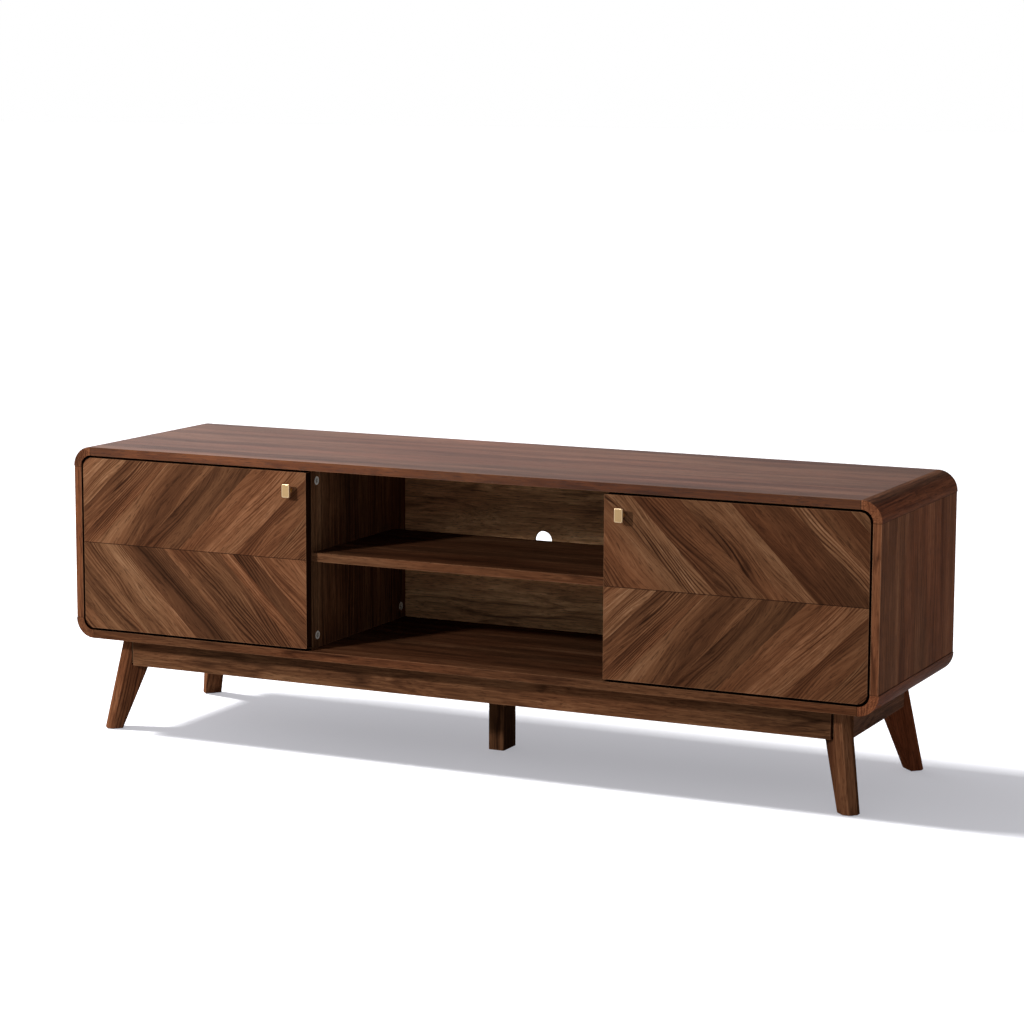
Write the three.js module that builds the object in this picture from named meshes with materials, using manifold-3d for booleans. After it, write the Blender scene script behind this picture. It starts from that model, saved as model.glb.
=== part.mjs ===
// Low TV stand: a rounded walnut case with an open bay and two hinged doors, on rails and splayed legs.
// Units are millimetres, +Z is up, +X is the width and -Y is the front. The floor is at z = 0.
import * as THREE from "three";
import { mergeVertices } from "three/addons/utils/BufferGeometryUtils.js";
import Module from "manifold-3d";

const wasm = await Module();
wasm.setup();

// ---- driving dimensions ----

// case
const WIDTH = 1500;
const DEPTH = 400;
const HEIGHT = 512;
const CASE_BOTTOM = 168;
const BOARD = 15;
const CORNER_RADIUS = 35;
const CORNER_PROUD = 1;
const BODY_GAP = 0.3;

// inside the case
const BAY_HALF = 278;
const BACK_THICKNESS = 5;
const BACK_FACE_Y = 167;
const GROOVE_DEPTH = 6;
const CABLE_HOLE_RADIUS = 16.5;
const CABLE_HOLE_RISE = 4;
const FITTING_SETBACK = 20;
const SHELF_TOP = 352;
const SHELF_CABLE_GAP = 47;
const CUPBOARD_SHELF_FRONT = 45;
const CUPBOARD_SHELF_BACK = 3;

// doors and knobs
const DOOR_THICKNESS = 18;
const DOOR_GAP = 4;
const DOOR_CORNER_RADIUS = 18;
const KNOB_FROM_EDGE = 31.5;
const KNOB_FROM_TOP = 31.5;
const KNOB_PLATE = { width: 15, height: 23, thickness: 4, bevel: 0.8, round: 2.5 };
const KNOB_REACH = 15;
const KNOB_STEM_RADIUS = 4.2;
const KNOB_COLLAR = { radius: 6, thickness: 2 };
const KNOB_SCREW_RADIUS = 2;
const KNOB_SCREW_IN = 6;
const KNOB_SCREW_HEAD = { radius: 4, thickness: 2, slotLength: 6, slotWidth: 1, slotDepth: 0.9 };

// door hinges
const PIN_FROM_EDGE = 20;
const PIN_FROM_FACE = 9.5;
const PIN_RADIUS = 1.5;
const CUP_FROM_EDGE = 21.5;
const CUP_RADIUS = 17.5;
const CUP_WALL = 1.2;
const CUP_DEPTH = 13.4;
const CUP_FLANGE = { width: 13, height: 52, thickness: 1.4, round: 5 };
const HINGE_FROM_END = 69;
const ARM_ANGLE = 141;
const ARM_EYE_RADIUS = 3;
const ARM_EYE_CLEARANCE = 0.3;
const ARM_THICKNESS = 2;
const ARM_HEIGHT = 12;
const ARM_BLADE = 21;
const ARM_CRANK = { turn: [1, 14], bend: [16, 26], rest: 34 };
const PLATE = { length: 44, height: 50, thickness: 4, lead: 4 };

// cam locks
const CAM_RADIUS = 7.5;
const CAM_DEPTH = 11;
const CAM_FROM_PANEL = 22;
const CAM_FROM_FRONT = 19;
const CAM_FROM_BACK = 18;
const CAM_SLOT = { length: 9, width: 2.2, depth: 2.5 };
const BOLT_RADIUS = 3;
const BOLT_BITE = 9;

// base frame
const RAIL_HEIGHT = 52;
const RAIL_THICKNESS = 20;
const FRAME_X = 687;
const FRAME_Y = 160;
const RAIL_END = 29;
const CROSS_RAIL_THICKNESS = 28;

// legs, measured along the diagonal from the outside corner of the rails
const LEG_THICKNESS = 31;
const LEG_CHAMFER = 8;
const FOOT_OUT = 26;
const FOOT_IN = -0.6;
const LEG_SPLAY = 0.226;
const LEG_TAPER = 0.435;
const SHOULDER_DROP = 0.6;
const TENON_IN = -19.5;
const NOTCH_ROUND = 2.5;
const BLOCK_NOSE_HALF = 12;
const BLOCK_WING = 56;
const BLOCK_HEIGHT = 46;
const CENTRE_LEG = { x: 30, y: 50, round: 3 };
const GLIDE = { radius: 9, thickness: 1.5, leg: 12.5 };

// derived planes
const FRONT = -DEPTH / 2;
const CASE_MIDDLE = (HEIGHT + CASE_BOTTOM) / 2;
const SIDE = WIDTH / 2;
const INNER_SIDE = SIDE - BOARD;
const INNER_TOP = HEIGHT - BOARD;
const INNER_BOTTOM = CASE_BOTTOM + BOARD;
const FITTING_FRONT = FRONT + FITTING_SETBACK;
const RAIL_BOTTOM = CASE_BOTTOM - RAIL_HEIGHT;
const SHOULDER = RAIL_BOTTOM - SHOULDER_DROP;

// ---- colours ----

const LOOKS = {
  walnut: { color: 0x7a4a30, roughness: 0.42, metalness: 0 },
  walnut_dark: { color: 0x5f3826, roughness: 0.45, metalness: 0 },
  walnut_door: { color: 0x85553a, roughness: 0.42, metalness: 0 },
  block: { color: 0xa98257, roughness: 0.7, metalness: 0 },
  brass: { color: 0xc9a35c, roughness: 0.3, metalness: 1 },
  steel: { color: 0xb8bab9, roughness: 0.35, metalness: 1 },
  glide: { color: 0x2a2725, roughness: 0.8, metalness: 0 },
};

// ---- helpers ----

// A three.js geometry as a solid that can be cut or joined.
function solid(geometry) {
  const bare = geometry.clone();
  bare.deleteAttribute("normal");
  bare.deleteAttribute("uv");
  const merged = mergeVertices(bare, 1e-4);
  return new wasm.Manifold(
    new wasm.Mesh({
      numProp: 3,
      vertProperties: new Float32Array(merged.attributes.position.array),
      triVerts: new Uint32Array(merged.index.array),
    }),
  );
}

// A cut or joined solid as a three.js geometry.
function geometryOf(made) {
  const mesh = made.getMesh();
  const geometry = new THREE.BufferGeometry();
  geometry.setAttribute("position", new THREE.BufferAttribute(new Float32Array(mesh.vertProperties), 3));
  geometry.setIndex(new THREE.BufferAttribute(new Uint32Array(mesh.triVerts), 1));
  geometry.computeVertexNormals();
  return geometry;
}

// Two values with the lower one first.
function ordered(a, b) {
  return a < b ? [a, b] : [b, a];
}

// A box between two corners.
function block(x0, x1, y0, y1, z0, z1) {
  const geometry = new THREE.BoxGeometry(x1 - x0, y1 - y0, z1 - z0);
  geometry.translate((x0 + x1) / 2, (y0 + y1) / 2, (z0 + z1) / 2);
  return geometry;
}

// An outline in x and z, extruded along y from y0 to y1.
function alongY(shape, y0, y1, curveSegments = 16) {
  const geometry = new THREE.ExtrudeGeometry(shape, { depth: y1 - y0, bevelEnabled: false, curveSegments });
  geometry.rotateX(Math.PI / 2);
  geometry.translate(0, y1, 0);
  return geometry;
}

// An outline in x and y, extruded along z from z0 to z1.
function alongZ(shape, z0, z1, curveSegments = 16) {
  const geometry = new THREE.ExtrudeGeometry(shape, { depth: z1 - z0, bevelEnabled: false, curveSegments });
  geometry.translate(0, 0, z0);
  return geometry;
}

// A closed outline through the given corners.
function outline(points) {
  return new THREE.Shape(points.map(([a, b]) => new THREE.Vector2(a, b)));
}

// A round bar between two values along one axis, centred on the other two coordinates.
function bar(axis, radius, from, to, centre, segments = 24) {
  const geometry = new THREE.CylinderGeometry(radius, radius, to - from, segments);
  const middle = (from + to) / 2;
  if (axis === "x") {
    geometry.rotateZ(-Math.PI / 2);
    geometry.translate(middle, centre[0], centre[1]);
  } else if (axis === "y") {
    geometry.translate(centre[0], middle, centre[1]);
  } else {
    geometry.rotateX(Math.PI / 2);
    geometry.translate(centre[0], centre[1], middle);
  }
  return geometry;
}

// A rectangle with rounded corners: one radius for all, or [low left, low right, high right, high left].
function roundedRect(x0, x1, z0, z1, round) {
  const [lowLeft, lowRight, highRight, highLeft] = Array.isArray(round) ? round : Array(4).fill(round);
  const shape = new THREE.Shape();
  shape.moveTo(x0 + lowLeft, z0);
  shape.lineTo(x1 - lowRight, z0);
  if (lowRight) {
    shape.absarc(x1 - lowRight, z0 + lowRight, lowRight, -Math.PI / 2, 0, false);
  }
  shape.lineTo(x1, z1 - highRight);
  if (highRight) {
    shape.absarc(x1 - highRight, z1 - highRight, highRight, 0, Math.PI / 2, false);
  }
  shape.lineTo(x0 + highLeft, z1);
  if (highLeft) {
    shape.absarc(x0 + highLeft, z1 - highLeft, highLeft, Math.PI / 2, Math.PI, false);
  }
  shape.lineTo(x0, z0 + lowLeft);
  if (lowLeft) {
    shape.absarc(x0 + lowLeft, z0 + lowLeft, lowLeft, Math.PI, 1.5 * Math.PI, false);
  }
  return shape;
}

const group = new THREE.Group();
group.name = "tv_stand_with_doors";

// Adds one piece to the stand under its name.
function add(name, look, geometry) {
  const mesh = new THREE.Mesh(geometry, new THREE.MeshStandardMaterial({ ...LOOKS[look] }));
  mesh.name = name;
  group.add(mesh);
}

const HANDS = [
  ["left", -1],
  ["right", 1],
];
const PLACES = [
  ["front", -1],
  ["rear", 1],
];
const LEVELS = [
  ["bottom", -1],
  ["top", 1],
];

// ---- case shell ----

// The back panel's outline is the case's inside outline grown into the grooves.
function backOutline(grow) {
  const reach = GROOVE_DEPTH + grow;
  const round = CORNER_RADIUS - BOARD + reach;
  return roundedRect(-INNER_SIDE - reach, INNER_SIDE + reach, INNER_BOTTOM - reach, INNER_TOP + reach, round);
}

const backGroove = solid(
  alongY(backOutline(BODY_GAP), BACK_FACE_Y - BODY_GAP, BACK_FACE_Y + BACK_THICKNESS + BODY_GAP, 20),
);

// A shell board with the back panel's groove cut in it.
function grooved(geometry) {
  return geometryOf(solid(geometry).subtract(backGroove));
}

const PANEL_HALF = SIDE - CORNER_RADIUS - BODY_GAP / 2;
const SIDE_LOW = CASE_BOTTOM + CORNER_RADIUS + BODY_GAP / 2;
const SIDE_HIGH = HEIGHT - CORNER_RADIUS - BODY_GAP / 2;

const topBoard = block(-PANEL_HALF, PANEL_HALF, FRONT, -FRONT, INNER_TOP, HEIGHT);
const bottomBoard = block(-PANEL_HALF, PANEL_HALF, FRONT, -FRONT, CASE_BOTTOM, INNER_BOTTOM);
add("top_panel", "walnut", grooved(topBoard));
add("bottom_panel", "walnut", grooved(bottomBoard));

for (const [hand, side] of HANDS) {
  const faces = ordered(side * INNER_SIDE, side * (SIDE - CORNER_PROUD));
  add(`side_panel_${hand}`, "walnut", grooved(block(...faces, FRONT, -FRONT, SIDE_LOW, SIDE_HIGH)));
}

// A quarter ring with short straight lips, drawn about the centre of its round.
function cornerMoulding(side, up) {
  const inner = CORNER_RADIUS - BOARD;
  const shape = new THREE.Shape();
  shape.moveTo(inner, 0);
  shape.lineTo(CORNER_RADIUS, 0);
  shape.absarc(0, 0, CORNER_RADIUS, 0, Math.PI / 2, false);
  shape.lineTo(0, inner);
  shape.absarc(0, 0, inner, Math.PI / 2, 0, true);
  const geometry = alongY(shape, FRONT, -FRONT, 20);
  const turns = { "1,1": 0, "-1,1": -1, "-1,-1": 2, "1,-1": 1 }[`${side},${up}`];
  geometry.rotateY((turns * Math.PI) / 2);
  const z = up > 0 ? HEIGHT - CORNER_RADIUS : CASE_BOTTOM + CORNER_RADIUS;
  geometry.translate(side * (SIDE - CORNER_RADIUS), 0, z);
  return geometry;
}

for (const [hand, side] of HANDS) {
  for (const [level, up] of LEVELS) {
    add(`corner_${level}_${hand}`, "walnut_dark", grooved(cornerMoulding(side, up)));
  }
}

// ---- back panel, dividers and shelves ----

const backSheet = solid(alongY(backOutline(-BODY_GAP), BACK_FACE_Y, BACK_FACE_Y + BACK_THICKNESS, 20));
const holeCentre = [0, CASE_MIDDLE + CABLE_HOLE_RISE];
const cableHole = solid(
  bar("y", CABLE_HOLE_RADIUS, BACK_FACE_Y - 1, BACK_FACE_Y + BACK_THICKNESS + 1, holeCentre, 48),
);
add("back_panel", "walnut_dark", geometryOf(backSheet.subtract(cableHole)));

const CAM_HEIGHTS = { bottom: INNER_BOTTOM + CAM_FROM_PANEL, top: INNER_TOP - CAM_FROM_PANEL };
const CAM_DEPTHS = { front: FITTING_FRONT + CAM_FROM_FRONT, rear: BACK_FACE_Y - CAM_FROM_BACK };

// A cam lock: a slotted barrel lying along x and the bolt that runs from it into the top or bottom panel.
function camLock(side, y, z, up, grow) {
  const face = side * BAY_HALF;
  const inward = face + side * CAM_DEPTH;
  const [x0, x1] = ordered(face, inward);
  const barrel = solid(bar("x", CAM_RADIUS + grow, x0 - grow, x1 + grow, [y, z], 28));
  const panelFace = up > 0 ? INNER_TOP : INNER_BOTTOM;
  const boltEnds = ordered(z, panelFace + up * (BOLT_BITE + grow));
  const bolt = solid(bar("z", BOLT_RADIUS + grow, ...boltEnds, [(x0 + x1) / 2, y], 16));
  return barrel.add(bolt);
}

// The cross cut in a cam's face for the screwdriver.
function camSlot(side, y, z) {
  const face = side * BAY_HALF;
  const ends = ordered(face - side, face + side * CAM_SLOT.depth);
  const long = CAM_SLOT.length / 2;
  const thin = CAM_SLOT.width / 2;
  const across = solid(block(...ends, y - long, y + long, z - thin, z + thin));
  const upright = solid(block(...ends, y - thin, y + thin, z - long, z + long));
  return across.add(upright);
}

const cams = [];
for (const [hand, side] of HANDS) {
  for (const [level, up] of LEVELS) {
    for (const [place] of PLACES) {
      const name = `cam_${hand}_${place}_${level}`;
      cams.push({ name, side, y: CAM_DEPTHS[place], z: CAM_HEIGHTS[level], up, hand });
    }
  }
}

for (const [hand, side] of HANDS) {
  const faces = ordered(side * BAY_HALF, side * (BAY_HALF + BOARD));
  const low = INNER_BOTTOM + BODY_GAP;
  let board = solid(block(...faces, FITTING_FRONT, BACK_FACE_Y - BODY_GAP, low, INNER_TOP - BODY_GAP));
  for (const cam of cams.filter((entry) => entry.hand === hand)) {
    board = board.subtract(camLock(cam.side, cam.y, cam.z, cam.up, BODY_GAP));
  }
  add(`divider_${hand}`, "walnut_dark", geometryOf(board));
}

for (const cam of cams) {
  const lock = camLock(cam.side, cam.y, cam.z, cam.up, 0).subtract(camSlot(cam.side, cam.y, cam.z));
  add(cam.name, "steel", geometryOf(lock));
}

// The bolts reach into the top and bottom panels, so those panels are drilled for them.
for (const [level, up] of LEVELS) {
  const mesh = group.getObjectByName(`${level}_panel`);
  let board = solid(mesh.geometry);
  for (const cam of cams.filter((entry) => entry.up === up)) {
    board = board.subtract(camLock(cam.side, cam.y, cam.z, cam.up, BODY_GAP));
  }
  mesh.geometry = geometryOf(board);
}

const shelfHalf = BAY_HALF - BODY_GAP;
const shelfBack = BACK_FACE_Y - SHELF_CABLE_GAP;
const shelfBottom = SHELF_TOP - BOARD;
add("shelf_centre", "walnut", block(-shelfHalf, shelfHalf, FITTING_FRONT, shelfBack, shelfBottom, SHELF_TOP));

for (const [hand, side] of HANDS) {
  const ends = ordered(side * (BAY_HALF + BOARD + 1), side * (INNER_SIDE - 1));
  const front = FRONT + CUPBOARD_SHELF_FRONT;
  const back = BACK_FACE_Y - CUPBOARD_SHELF_BACK;
  add(`shelf_${hand}`, "walnut_dark", block(...ends, front, back, shelfBottom, SHELF_TOP));
}

// ---- doors, knobs and hinges ----

const DOOR_LOW = INNER_BOTTOM + DOOR_GAP;
const DOOR_HIGH = INNER_TOP - DOOR_GAP;
const DOOR_OUTER = INNER_SIDE - DOOR_GAP;
const DOOR_BACK = FRONT + DOOR_THICKNESS;
const KNOB_Z = DOOR_HIGH - KNOB_FROM_TOP;
const HINGE_LEVELS = [
  ["lower", DOOR_LOW + HINGE_FROM_END],
  ["upper", DOOR_HIGH - HINGE_FROM_END],
];
const PIN_Y = FRONT + PIN_FROM_FACE;

// The blind hole in the door's back for a hinge cup.
function cupHole(side, z) {
  const x = side * (DOOR_OUTER - CUP_FROM_EDGE);
  const floor = DOOR_BACK - CUP_DEPTH - BODY_GAP;
  return solid(bar("y", CUP_RADIUS + BODY_GAP, floor, DOOR_BACK + 0.5, [x, z], 40));
}

// One hinge cup with its flange, its hollow and the pivot pin that crosses it.
function hingeCup(side, z) {
  const x = side * (DOOR_OUTER - CUP_FROM_EDGE);
  const floor = DOOR_BACK - CUP_DEPTH;
  const back = DOOR_BACK + BODY_GAP;
  const rim = back + CUP_FLANGE.thickness;
  const wide = CUP_FLANGE.width / 2;
  const tall = CUP_FLANGE.height / 2;
  const flangeShape = roundedRect(x - wide, x + wide, z - tall, z + tall, CUP_FLANGE.round);
  const bowl = solid(bar("y", CUP_RADIUS, floor, rim, [x, z], 40));
  const flange = solid(alongY(flangeShape, back, rim, 8));
  const hollow = solid(bar("y", CUP_RADIUS - CUP_WALL, floor + CUP_WALL, rim + 1, [x, z], 40));
  const pinX = side * (DOOR_OUTER - PIN_FROM_EDGE);
  const pinHalf = CUP_RADIUS - CUP_WALL / 2;
  const pin = solid(bar("z", PIN_RADIUS, z - pinHalf, z + pinHalf, [pinX, PIN_Y], 16));
  return geometryOf(bowl.add(flange).subtract(hollow).add(pin));
}

// The fixed hinge arm in plan, for a right-hand hinge: an eye round the pin, a blade that leaves the cup on the
// slant, and a channel that cranks back to the plate on the side panel.
function hingeArm(side, z) {
  const eyeX = DOOR_OUTER - PIN_FROM_EDGE;
  const angle = (ARM_ANGLE * Math.PI) / 180;
  const along = [Math.cos(angle), Math.sin(angle)];
  const [endX, endY] = [eyeX + ARM_BLADE * along[0], PIN_Y + ARM_BLADE * along[1]];
  const restX = INNER_SIDE - PLATE.thickness - BODY_GAP - ARM_THICKNESS / 2;
  const path = [
    [eyeX + 2 * along[0], PIN_Y + 2 * along[1]],
    [endX, endY],
    [endX + ARM_CRANK.turn[0], endY + ARM_CRANK.turn[1]],
    [endX + ARM_CRANK.bend[0], endY + ARM_CRANK.bend[1]],
    [restX, endY + ARM_CRANK.rest],
    [restX, endY + ARM_CRANK.rest + PLATE.length],
  ];
  const low = z - ARM_HEIGHT / 2;
  const high = z + ARM_HEIGHT / 2;
  const arm = solid(alongZ(ribbon(path, ARM_THICKNESS), low, high)).add(
    solid(bar("z", ARM_EYE_RADIUS, low, high, [eyeX, PIN_Y], 24)),
  );
  const bore = solid(
    bar("z", PIN_RADIUS + ARM_EYE_CLEARANCE, z - ARM_HEIGHT, z + ARM_HEIGHT, [eyeX, PIN_Y], 16),
  );
  const geometry = geometryOf(arm.subtract(bore));
  return side > 0 ? geometry : mirrored(geometry);
}

// The outline of a bent strip of the given thickness along a path, with mitred bends.
function ribbon(path, thickness) {
  const half = thickness / 2;
  const directions = path.slice(1).map((to, i) => {
    const [dx, dy] = [to[0] - path[i][0], to[1] - path[i][1]];
    const length = Math.hypot(dx, dy);
    return [dx / length, dy / length];
  });
  const offsets = path.map((point, i) => {
    const before = directions[Math.max(i - 1, 0)];
    const after = directions[Math.min(i, directions.length - 1)];
    const normal = [-(before[1] + after[1]), before[0] + after[0]];
    const size = Math.hypot(...normal);
    const reach = half / ((normal[0] * -after[1] + normal[1] * after[0]) / size);
    return [(normal[0] / size) * reach, (normal[1] / size) * reach];
  });
  const left = path.map(([x, y], i) => [x + offsets[i][0], y + offsets[i][1]]);
  const right = path.map(([x, y], i) => [x - offsets[i][0], y - offsets[i][1]]);
  return outline([...right, ...left.reverse()]);
}

// The same geometry on the other side of the x = 0 plane.
function mirrored(geometry) {
  const copy = geometry.index ? geometry.toNonIndexed() : geometry.clone();
  const points = copy.attributes.position.array;
  for (let i = 0; i < points.length; i += 9) {
    for (let k = 0; k < 3; k += 1) {
      const kept = points[i + 3 + k];
      points[i + 3 + k] = points[i + 6 + k];
      points[i + 6 + k] = kept;
    }
    points[i] = -points[i];
    points[i + 3] = -points[i + 3];
    points[i + 6] = -points[i + 6];
  }
  copy.computeVertexNormals();
  return copy;
}

const armPlateY = PIN_Y + ARM_BLADE * Math.sin((ARM_ANGLE * Math.PI) / 180) + ARM_CRANK.rest;
const plateFront = armPlateY - PLATE.lead;

for (const [hand, side] of HANDS) {
  const [x0, x1] = ordered(side * BAY_HALF, side * DOOR_OUTER);
  const outer = DOOR_CORNER_RADIUS;
  const radii = side > 0 ? [0, outer, outer, 0] : [outer, 0, 0, outer];
  const doorShape = roundedRect(x0, x1, DOOR_LOW, DOOR_HIGH, radii);
  let door = solid(alongY(doorShape, FRONT, DOOR_BACK, 16));
  const knobX = side * (BAY_HALF + KNOB_FROM_EDGE);
  door = door.subtract(
    solid(bar("y", KNOB_SCREW_RADIUS + BODY_GAP, FRONT - 1, DOOR_BACK + 1, [knobX, KNOB_Z], 16)),
  );
  for (const [, z] of HINGE_LEVELS) {
    door = door.subtract(cupHole(side, z));
  }
  add(`door_${hand}`, "walnut_door", geometryOf(door));

  // knob: collar on the door, stem and plate
  const plateBack = FRONT - KNOB_REACH + KNOB_PLATE.thickness;
  const wide = KNOB_PLATE.width / 2 - KNOB_PLATE.bevel;
  const tall = KNOB_PLATE.height / 2 - KNOB_PLATE.bevel;
  const plateRound = KNOB_PLATE.round - KNOB_PLATE.bevel;
  const plateShape = roundedRect(knobX - wide, knobX + wide, KNOB_Z - tall, KNOB_Z + tall, plateRound);
  const plateGeometry = new THREE.ExtrudeGeometry(plateShape, {
    depth: KNOB_PLATE.thickness - 2 * KNOB_PLATE.bevel,
    bevelEnabled: true,
    bevelSize: KNOB_PLATE.bevel,
    bevelThickness: KNOB_PLATE.bevel,
    bevelSegments: 2,
    curveSegments: 6,
  });
  plateGeometry.rotateX(Math.PI / 2);
  plateGeometry.translate(0, plateBack - KNOB_PLATE.bevel, 0);
  const knobBack = FRONT - BODY_GAP;
  const screwTip = knobBack - KNOB_SCREW_IN;
  const collarFront = knobBack - KNOB_COLLAR.thickness;
  const stem = solid(bar("y", KNOB_STEM_RADIUS, plateBack - 1, knobBack, [knobX, KNOB_Z], 28));
  const collar = solid(bar("y", KNOB_COLLAR.radius, collarFront, knobBack, [knobX, KNOB_Z], 28));
  const screwHole = solid(bar("y", KNOB_SCREW_RADIUS + BODY_GAP, screwTip, FRONT + 1, [knobX, KNOB_Z], 16));
  const knob = solid(plateGeometry).add(stem).add(collar).subtract(screwHole);
  add(`knob_${hand}`, "brass", geometryOf(knob));

  const headBack = DOOR_BACK + BODY_GAP + KNOB_SCREW_HEAD.thickness;
  const shank = solid(bar("y", KNOB_SCREW_RADIUS, FRONT - KNOB_SCREW_IN, headBack - 1, [knobX, KNOB_Z], 16));
  const head = solid(bar("y", KNOB_SCREW_HEAD.radius, DOOR_BACK + BODY_GAP, headBack, [knobX, KNOB_Z], 20));
  const { slotLength, slotWidth, slotDepth } = KNOB_SCREW_HEAD;
  const slot = new THREE.BoxGeometry(slotLength, 2 * slotDepth, slotWidth);
  slot.translate(knobX, headBack, KNOB_Z);
  add(`knob_screw_${hand}`, "steel", geometryOf(shank.add(head).subtract(solid(slot))));

  // hinges
  for (const [level, z] of HINGE_LEVELS) {
    add(`hinge_cup_${hand}_${level}`, "steel", hingeCup(side, z));
    add(`hinge_arm_${hand}_${level}`, "steel", hingeArm(side, z));
    const faces = ordered(side * (INNER_SIDE - BODY_GAP), side * (INNER_SIDE - PLATE.thickness));
    const [low, high] = [z - PLATE.height / 2, z + PLATE.height / 2];
    const plate = block(...faces, plateFront, plateFront + PLATE.length, low, high);
    add(`hinge_plate_${hand}_${level}`, "steel", plate);
  }
}

// ---- base frame ----

const railTop = CASE_BOTTOM - BODY_GAP;
const longHalf = FRAME_X - RAIL_END;
const shortHalf = FRAME_Y - RAIL_END;

for (const [name, sign] of [
  ["front_rail", -1],
  ["back_rail", 1],
]) {
  const faces = ordered(sign * FRAME_Y, sign * (FRAME_Y - RAIL_THICKNESS));
  add(name, "walnut", block(-longHalf, longHalf, ...faces, RAIL_BOTTOM, railTop));
}

for (const [hand, side] of HANDS) {
  const faces = ordered(side * FRAME_X, side * (FRAME_X - RAIL_THICKNESS));
  add(`side_rail_${hand}`, "walnut_dark", block(...faces, -shortHalf, shortHalf, RAIL_BOTTOM, railTop));
}

const crossHalf = FRAME_Y - RAIL_THICKNESS - BODY_GAP;
const crossSide = CROSS_RAIL_THICKNESS / 2;
add("cross_rail", "block", block(-crossSide, crossSide, -crossHalf, crossHalf, RAIL_BOTTOM, railTop));

const centreShape = roundedRect(
  -CENTRE_LEG.x / 2,
  CENTRE_LEG.x / 2,
  -CENTRE_LEG.y / 2,
  CENTRE_LEG.y / 2,
  CENTRE_LEG.round,
);
add("centre_leg", "walnut_dark", alongZ(centreShape, GLIDE.thickness, RAIL_BOTTOM - BODY_GAP, 6));

// ---- corner legs ----

// The leg's outline in its own upright plane: the first number runs outwards, the second is the height.
function legOutline() {
  const foot = GLIDE.thickness;
  const outer = (z) => FOOT_OUT - LEG_SPLAY * z;
  const inner = (z) => FOOT_IN - LEG_TAPER * z;
  const shape = new THREE.Shape();
  shape.moveTo(inner(foot), foot);
  shape.lineTo(outer(foot), foot);
  shape.lineTo(outer(railTop), railTop);
  shape.lineTo(TENON_IN, railTop);
  shape.lineTo(TENON_IN, SHOULDER + NOTCH_ROUND);
  shape.absarc(TENON_IN - NOTCH_ROUND, SHOULDER + NOTCH_ROUND, NOTCH_ROUND, 0, -Math.PI / 2, true);
  shape.lineTo(inner(SHOULDER), SHOULDER);
  return shape;
}

// A wedge that takes one long edge off the leg's outer nose.
function noseCut(hand) {
  const face = LEG_THICKNESS / 2;
  const clear = face + 0.01;
  const past = 20;
  const lean = Math.atan(LEG_SPLAY);
  const wedge = outline([
    [-LEG_CHAMFER, hand * clear],
    [past, hand * clear],
    [past, hand * (face - LEG_CHAMFER - past)],
    [0, hand * (face - LEG_CHAMFER)],
  ]);
  const geometry = alongZ(wedge, -past, CASE_BOTTOM + past);
  geometry.rotateY(-lean);
  geometry.translate(FOOT_OUT, 0, 0);
  return solid(geometry);
}

// Turns a leg-plane geometry so that its outward direction points to one corner of the stand.
function toCorner(geometry, signX, signY) {
  geometry.rotateZ(Math.atan2(signY, signX));
  geometry.translate(signX * FRAME_X, signY * FRAME_Y, 0);
  return geometry;
}

const legBlank = solid(alongY(legOutline(), -LEG_THICKNESS / 2, LEG_THICKNESS / 2, 6));
const legSolid = legBlank.subtract(noseCut(1)).subtract(noseCut(-1));

// A corner block in plan, with the outside corner of the rails at the origin and outwards along (1, -1).
function blockOutline() {
  const gap = BODY_GAP;
  const insideX = -RAIL_THICKNESS - gap;
  const endX = -RAIL_END + gap;
  const half = BLOCK_NOSE_HALF / Math.SQRT2;
  const tip = (TENON_IN - gap) / Math.SQRT2;
  const noseX = tip - half;
  const noseY = -tip - half;
  const nose = [
    [endX, -insideX],
    [endX, noseY + (noseX - endX)],
    [noseX, noseY],
  ];
  const wing = [[-BLOCK_WING - RAIL_THICKNESS, -insideX], ...nose];
  const otherWing = wing.map(([x, y]) => [-y, -x]).reverse();
  return outline([...wing, ...otherWing]);
}

const blockTop = railTop - (RAIL_HEIGHT - BLOCK_HEIGHT) / 2;

for (const [place, signY] of PLACES) {
  for (const [hand, signX] of HANDS) {
    add(`leg_${place}_${hand}`, "walnut_dark", toCorner(geometryOf(legSolid), signX, signY));

    const piece = alongZ(blockOutline(), blockTop - BLOCK_HEIGHT, blockTop);
    piece.rotateZ(Math.atan2(signY, signX) + Math.PI / 4);
    piece.translate(signX * FRAME_X, signY * FRAME_Y, 0);
    add(`corner_block_${place}_${hand}`, "block", piece);
  }
}

// ---- glides ----

const glideSpots = [["centre", 0, 0]];
for (const [place, signY] of PLACES) {
  for (const [hand, signX] of HANDS) {
    const out = GLIDE.leg / Math.SQRT2;
    glideSpots.push([`${place}_${hand}`, signX * (FRAME_X + out), signY * (FRAME_Y + out)]);
  }
}
for (const [place, x, y] of glideSpots) {
  add(`glide_${place}`, "glide", bar("z", GLIDE.radius, 0, GLIDE.thickness, [x, y], 28));
}

export default group;
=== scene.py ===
import math

import bmesh
import bpy
from mathutils import Matrix, Vector


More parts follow.
